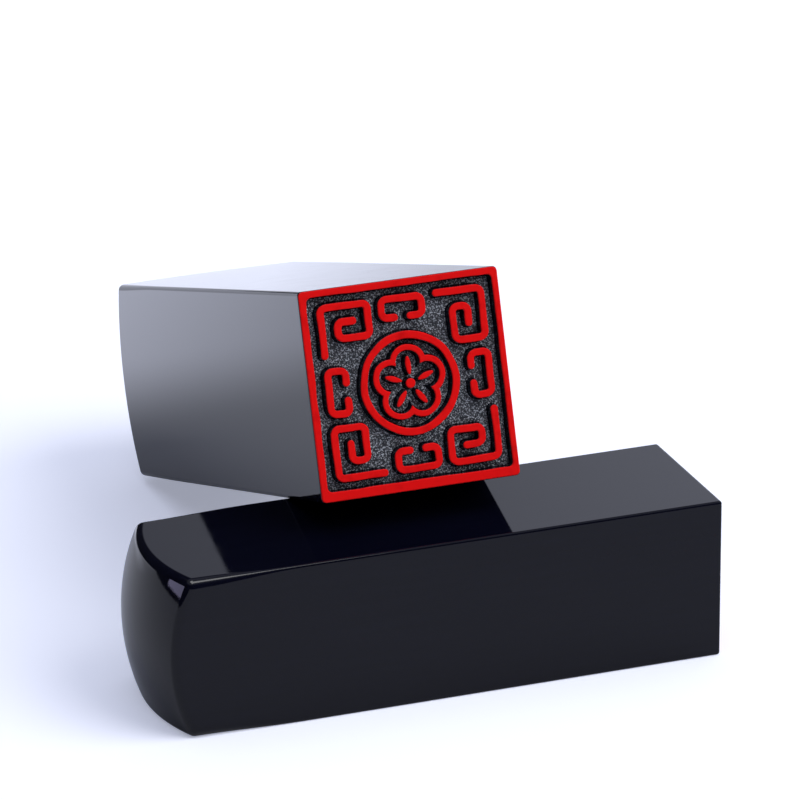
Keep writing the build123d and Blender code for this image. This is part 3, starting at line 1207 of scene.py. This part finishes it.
def make_world():
    """A white background for the camera and a soft studio room for the rest."""
    stage = settings().stage
    world = bpy.data.worlds.new("studio")
    bpy.context.scene.world = world
    world.use_nodes = True
    tree = world.node_tree
    path = add_node(tree, "ShaderNodeLightPath").outputs
    parts = parts_of(tree, add_node(tree, "ShaderNodeTexCoord").outputs["Generated"])

    # A wide soft light overhead, weaker in the gloss
    overhead = ranged(tree, parts["Z"], OVERHEAD_RISE, (0, stage.top_level), "SMOOTHSTEP")
    softened = ranged(tree, path["Is Glossy Ray"], (0, 1), (1, stage.top_gloss))
    lid = calculated(tree, "MULTIPLY", overhead, softened)

    # A pale panel behind on the right, which grows paler to the right
    panel = add_node(tree, "ShaderNodeValToRGB", {"Fac": parts["X"]})
    panel.color_ramp.interpolation = "B_SPLINE"
    for stop, level in PANEL_STOPS:
        panel.color_ramp.elements.new(stop).color = (level, level, level, 1)
    below = ranged(tree, parts["Z"], PANEL_TOP, (1, 0))
    behind = ranged(tree, parts["Y"], PANEL_BEHIND, (0, stage.panel_level))
    shape = calculated(tree, "MULTIPLY", below, behind)
    card = calculated(tree, "MULTIPLY", panel.outputs["Color"], shape)

    # Both in a dim room, and a white background for the camera
    pale = calculated(tree, "MAXIMUM", lid, card)
    room = tree.nodes["Background"]
    level = calculated(tree, "MAXIMUM", pale, stage.room_level)
    set_inputs(tree, room, {"Color": ROOM_TINT, "Strength": level})
    white = add_node(tree, "ShaderNodeBackground", {"Color": WHITE}).outputs["Background"]
    inputs = {"Fac": path["Is Camera Ray"], 1: room.outputs["Background"], 2: white}
    both = add_node(tree, "ShaderNodeMixShader", inputs).outputs["Shader"]
    set_inputs(tree, tree.nodes["World Output"], {"Surface": both})


def new_light(name, kind, way, **values):
    """A light that lies the way given and shines against it."""
    data = bpy.data.lights.new(name, kind)
    for label, value in values.items():
        setattr(data, label, value)
    light = new_object(name, data)
    light.rotation_euler = Vector(way).to_track_quat("Z", "Y").to_euler()
    return light


def make_key():
    """The wide soft key light, from the upper right and a little in front, which the gloss doesn't show."""
    stage = settings().stage
    values = {"energy": stage.key_strength, "angle": stage.key_spread, "color": KEY_TINT}
    new_light("key_light", "SUN", KEY_WAY, **values).visible_glossy = False


def make_card(name, power, place, aim, size, tint):
    """A card of light that shows only in the gloss."""
    values = {"shape": "RECTANGLE", "size": size[0], "size_y": size[1], "energy": power, "color": tint}
    card = new_light(name, "AREA", Vector(place) - Vector(aim), **values)
    card.location = place
    card.visible_camera = False
    card.visible_diffuse = False


def make_camera():
    """The photograph's view."""
    stage = settings().stage
    heading, tilt, roll = stage.camera_azimuth, stage.camera_elevation, stage.camera_roll
    ahead = math.cos(tilt)
    forward = Vector((math.sin(heading) * ahead, math.cos(heading) * ahead, -math.sin(tilt)))
    right = forward.cross(Vector(UP)).normalized()
    up = right.cross(forward)
    turned_right = right * math.cos(roll) + up * math.sin(roll)
    turned_up = up * math.cos(roll) - right * math.sin(roll)
    data = bpy.data.cameras.new("camera")
    data.lens = stage.focal_pixels / stage.image_pixels * data.sensor_width
    data.clip_start, data.clip_end = CLIP_RANGE
    camera = new_object("camera", data)
    camera.matrix_world = placement(turned_right, turned_up, -forward, stage.camera_place)
    bpy.context.scene.camera = camera


# Operators

LARGE_SIDE_WAY = (1, 0, 0)
SMALL_SIDE_WAY = (0, 1, 0)
LARGE_SEED = 21
SMALL_SEED = 57


def large_seal():
    """The large seal's name, sizes, motifs, way to the right of its face, and seed."""
    seal = settings().large
    return "large", seal, large_motifs(seal), LARGE_SIDE_WAY, LARGE_SEED


def small_seal():
    """The same for the small seal."""
    seal = settings().small
    return "small", seal, small_motifs(seal), SMALL_SIDE_WAY, SMALL_SEED


class SEALS_OT_large_block(bpy.types.Operator):
    """Make the large seal's block"""

    bl_idname = "seals.large_block"
    bl_label = "Large Seal Block"

    def execute(self, context):
        make_block(*large_seal())
        return {"FINISHED"}


class SEALS_OT_small_block(bpy.types.Operator):
    """Make the small seal's block"""

    bl_idname = "seals.small_block"
    bl_label = "Small Seal Block"

    def execute(self, context):
        make_block(*small_seal())
        return {"FINISHED"}


class SEALS_OT_large_paste(bpy.types.Operator):
    """Make the red paste on the large seal's face"""

    bl_idname = "seals.large_paste"
    bl_label = "Large Seal Paste"

    def execute(self, context):
        make_paste(*large_seal())
        return {"FINISHED"}


class SEALS_OT_small_paste(bpy.types.Operator):
    """Make the red paste on the small seal's face"""

    bl_idname = "seals.small_paste"
    bl_label = "Small Seal Paste"

    def execute(self, context):
        make_paste(*small_seal())
        return {"FINISHED"}


class SEALS_OT_stage(bpy.types.Operator):
    """Make the floor, the light and the camera"""

    bl_idname = "seals.stage"
    bl_label = "Stage"

    def execute(self, context):
        stage = settings().stage
        make_floor()
        make_world()
        make_key()
        make_card("edge_card", stage.edge_card_power, **EDGE_CARD)
        make_card("dome_card", stage.dome_card_power, **DOME_CARD)
        make_camera()
        bpy.context.scene.view_settings.view_transform = "Standard"
        return {"FINISHED"}


class SEALS_PT_panel(bpy.types.Panel):
    """Lists the pieces in the order in which they are made"""

    bl_idname = "SEALS_PT_panel"
    bl_label = "Seal Stamps"
    bl_space_type = "VIEW_3D"
    bl_region_type = "UI"
    bl_category = "Seal Stamps"

    def draw(self, context):
        for step in STEPS:
            self.layout.operator(step.bl_idname)
        for group in ("small", "large", "carving", "finish", "stage"):
            box = self.layout.box()
            box.label(text=group.capitalize())
            chosen = getattr(settings(), group)
            for name in chosen.__annotations__:
                box.prop(chosen, name)


STEPS = (
    SEALS_OT_large_block, SEALS_OT_small_block, SEALS_OT_large_paste, SEALS_OT_small_paste, SEALS_OT_stage
)
GROUPS = (SmallSealSettings, LargeSealSettings, CarvingSettings, FinishSettings, StageSettings)
CLASSES = (*GROUPS, SealStampSettings, *STEPS, SEALS_PT_panel)


def register():
    for each in CLASSES:
        bpy.utils.register_class(each)
    bpy.types.Scene.seal_stamps = PointerProperty(type=SealStampSettings)


def unregister():
    del bpy.types.Scene.seal_stamps
    for each in reversed(CLASSES):
        bpy.utils.unregister_class(each)


def main():
    register()
    bpy.ops.seals.large_block()
    bpy.ops.seals.small_block()
    bpy.ops.seals.large_paste()
    bpy.ops.seals.small_paste()
    bpy.ops.seals.stage()


if __name__ == "__main__":
    main()
